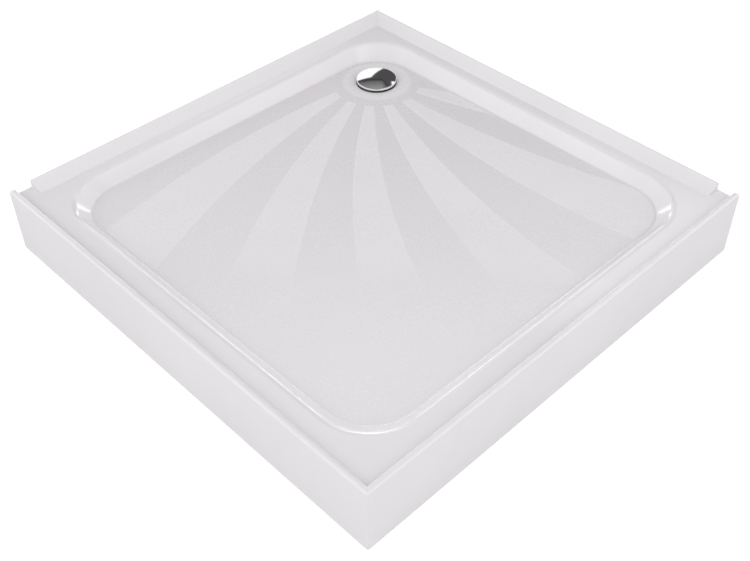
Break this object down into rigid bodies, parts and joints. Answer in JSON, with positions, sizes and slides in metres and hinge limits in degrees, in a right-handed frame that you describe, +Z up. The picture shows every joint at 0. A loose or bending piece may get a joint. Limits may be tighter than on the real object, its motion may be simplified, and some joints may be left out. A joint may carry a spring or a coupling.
{
  "type": "shower tray",
  "caption": "Square low shower tray with a fan-textured sunk floor, corner waste under a domed cover, wall upstands, a lift-off corner panel and a levelling frame.",
  "frame": {"origin": "on the floor under the middle of the square plan", "axes": "+Z up; the panel faces -Y and +X, the walls are at -X and +Y, the waste is by the -X +Y corner"},
  "size_m": [0.9, 0.9, 0.1325],
  "materials": {
    "acrylic_shell": "glossy moulded acrylic, satin in the textured valleys",
    "acrylic_panel": "glossy moulded acrylic",
    "resin_core": "cast filled resin",
    "white_plastic": "moulded",
    "zinc_tube": "zinc-plated square tube",
    "zinc_strip": "zinc-plated strip",
    "zinc_fasteners": "zinc-plated",
    "black_plastic": "moulded",
    "chrome": "polished chrome plate",
    "grey_plastic": "moulded",
    "rubber": "moulded seal",
    "trap_plastic": "moulded polypropylene"
  },
  "bodies": {
    "root": {"tray_shell": "acrylic_shell", "floor_core": "resin_core", "frame_front_rail": "zinc_tube", "frame_side_rail": "zinc_tube", "frame_rear_rail": "zinc_tube", "frame_waste_corner_rail": "zinc_tube", "frame_left_rail": "zinc_tube", "frame_diagonal_rail": "zinc_tube", "frame_fixing_screws": "zinc_fasteners", "panel_bracket_front_left": "zinc_strip", "panel_bracket_front_right": "zinc_strip", "panel_bracket_side_rear": "zinc_strip", "panel_bracket_side_front": "zinc_strip", "panel_bracket_screws": "zinc_fasteners", "foot_weld_nuts": "zinc_fasteners", "foot_lock_nuts": "zinc_fasteners", "waste_flange": "grey_plastic", "flange_seal": "rubber", "body_seal": "rubber", "trap_body": "trap_plastic", "outlet_pipe": "trap_plastic", "outlet_washer": "rubber", "outlet_union_nut": "trap_plastic"},
    "corner_panel": {"corner_panel": "acrylic_panel", "panel_cleats": "white_plastic"},
    "waste_insert": {"waste_insert": "grey_plastic", "insert_o_ring": "rubber"},
    "waste_cover": {"waste_cover": "chrome"},
    "foot_pad_1": {"foot_pad_1": "black_plastic"},
    "foot_stud_1": {"foot_stud_1": "zinc_fasteners"},
    "foot_pad_2": {"foot_pad_2": "black_plastic"},
    "foot_stud_2": {"foot_stud_2": "zinc_fasteners"},
    "foot_pad_3": {"foot_pad_3": "black_plastic"},
    "foot_stud_3": {"foot_stud_3": "zinc_fasteners"},
    "foot_pad_4": {"foot_pad_4": "black_plastic"},
    "foot_stud_4": {"foot_stud_4": "zinc_fasteners"},
    "foot_pad_5": {"foot_pad_5": "black_plastic"},
    "foot_stud_5": {"foot_stud_5": "zinc_fasteners"},
    "foot_pad_6": {"foot_pad_6": "black_plastic"},
    "foot_stud_6": {"foot_stud_6": "zinc_fasteners"}
  },
  "joints": [
    {"name": "panel_lift", "type": "slide", "parent": "root", "child": "corner_panel", "axis": [0, 0, 1], "range_m": [0, 0.015]},
    {"name": "insert_lift", "type": "slide", "parent": "root", "child": "waste_insert", "axis": [0, 0, 1], "range_m": [0, 0.08]},
    {"name": "cover_lift", "type": "slide", "parent": "waste_insert", "child": "waste_cover", "axis": [0, 0, 1], "range_m": [0, 0.025]},
    {"name": "foot_1_height", "type": "slide", "parent": "root", "child": "foot_pad_1", "axis": [0, 0, 1], "range_m": [-0.015, 0]},
    {"name": "foot_1_turn", "type": "hinge", "parent": "foot_pad_1", "child": "foot_stud_1", "pos_m": [-0.33, -0.29, 0.02], "axis": [0, 0, 1], "range_deg": [-3960, 0]},
    {"name": "foot_2_height", "type": "slide", "parent": "root", "child": "foot_pad_2", "axis": [0, 0, 1], "range_m": [-0.015, 0]},
    {"name": "foot_2_turn", "type": "hinge", "parent": "foot_pad_2", "child": "foot_stud_2", "pos_m": [0.29, 0.33, 0.02], "axis": [0, 0, 1], "range_deg": [-3960, 0]},
    {"name": "foot_3_height", "type": "slide", "parent": "root", "child": "foot_pad_3", "axis": [0, 0, 1], "range_m": [-0.015, 0]},
    {"name": "foot_3_turn", "type": "hinge", "parent": "foot_pad_3", "child": "foot_stud_3", "pos_m": [-0.33, 0.11, 0.02], "axis": [0, 0, 1], "range_deg": [-3960, 0]},
    {"name": "foot_4_height", "type": "slide", "parent": "root", "child": "foot_pad_4", "axis": [0, 0, 1], "range_m": [-0.015, 0]},
    {"name": "foot_4_turn", "type": "hinge", "parent": "foot_pad_4", "child": "foot_stud_4", "pos_m": [-0.11, 0.33, 0.02], "axis": [0, 0, 1], "range_deg": [-3960, 0]},
    {"name": "foot_5_height", "type": "slide", "parent": "root", "child": "foot_pad_5", "axis": [0, 0, 1], "range_m": [-0.015, 0]},
    {"name": "foot_5_turn", "type": "hinge", "parent": "foot_pad_5", "child": "foot_stud_5", "pos_m": [0.285, -0.285, 0.02], "axis": [0, 0, 1], "range_deg": [-3960, 0]},
    {"name": "foot_6_height", "type": "slide", "parent": "root", "child": "foot_pad_6", "axis": [0, 0, 1], "range_m": [-0.015, 0]},
    {"name": "foot_6_turn", "type": "hinge", "parent": "foot_pad_6", "child": "foot_stud_6", "pos_m": [0, 0, 0.02], "axis": [0, 0, 1], "range_deg": [-3960, 0]}
  ],
  "couplings": [
    {"joint": "foot_1_turn", "follows": "foot_1_height", "rad_per_m": 4188.8},
    {"joint": "foot_2_turn", "follows": "foot_2_height", "rad_per_m": 4188.8},
    {"joint": "foot_3_turn", "follows": "foot_3_height", "rad_per_m": 4188.8},
    {"joint": "foot_4_turn", "follows": "foot_4_height", "rad_per_m": 4188.8},
    {"joint": "foot_5_turn", "follows": "foot_5_height", "rad_per_m": 4188.8},
    {"joint": "foot_6_turn", "follows": "foot_6_height", "rad_per_m": 4188.8}
  ]
}
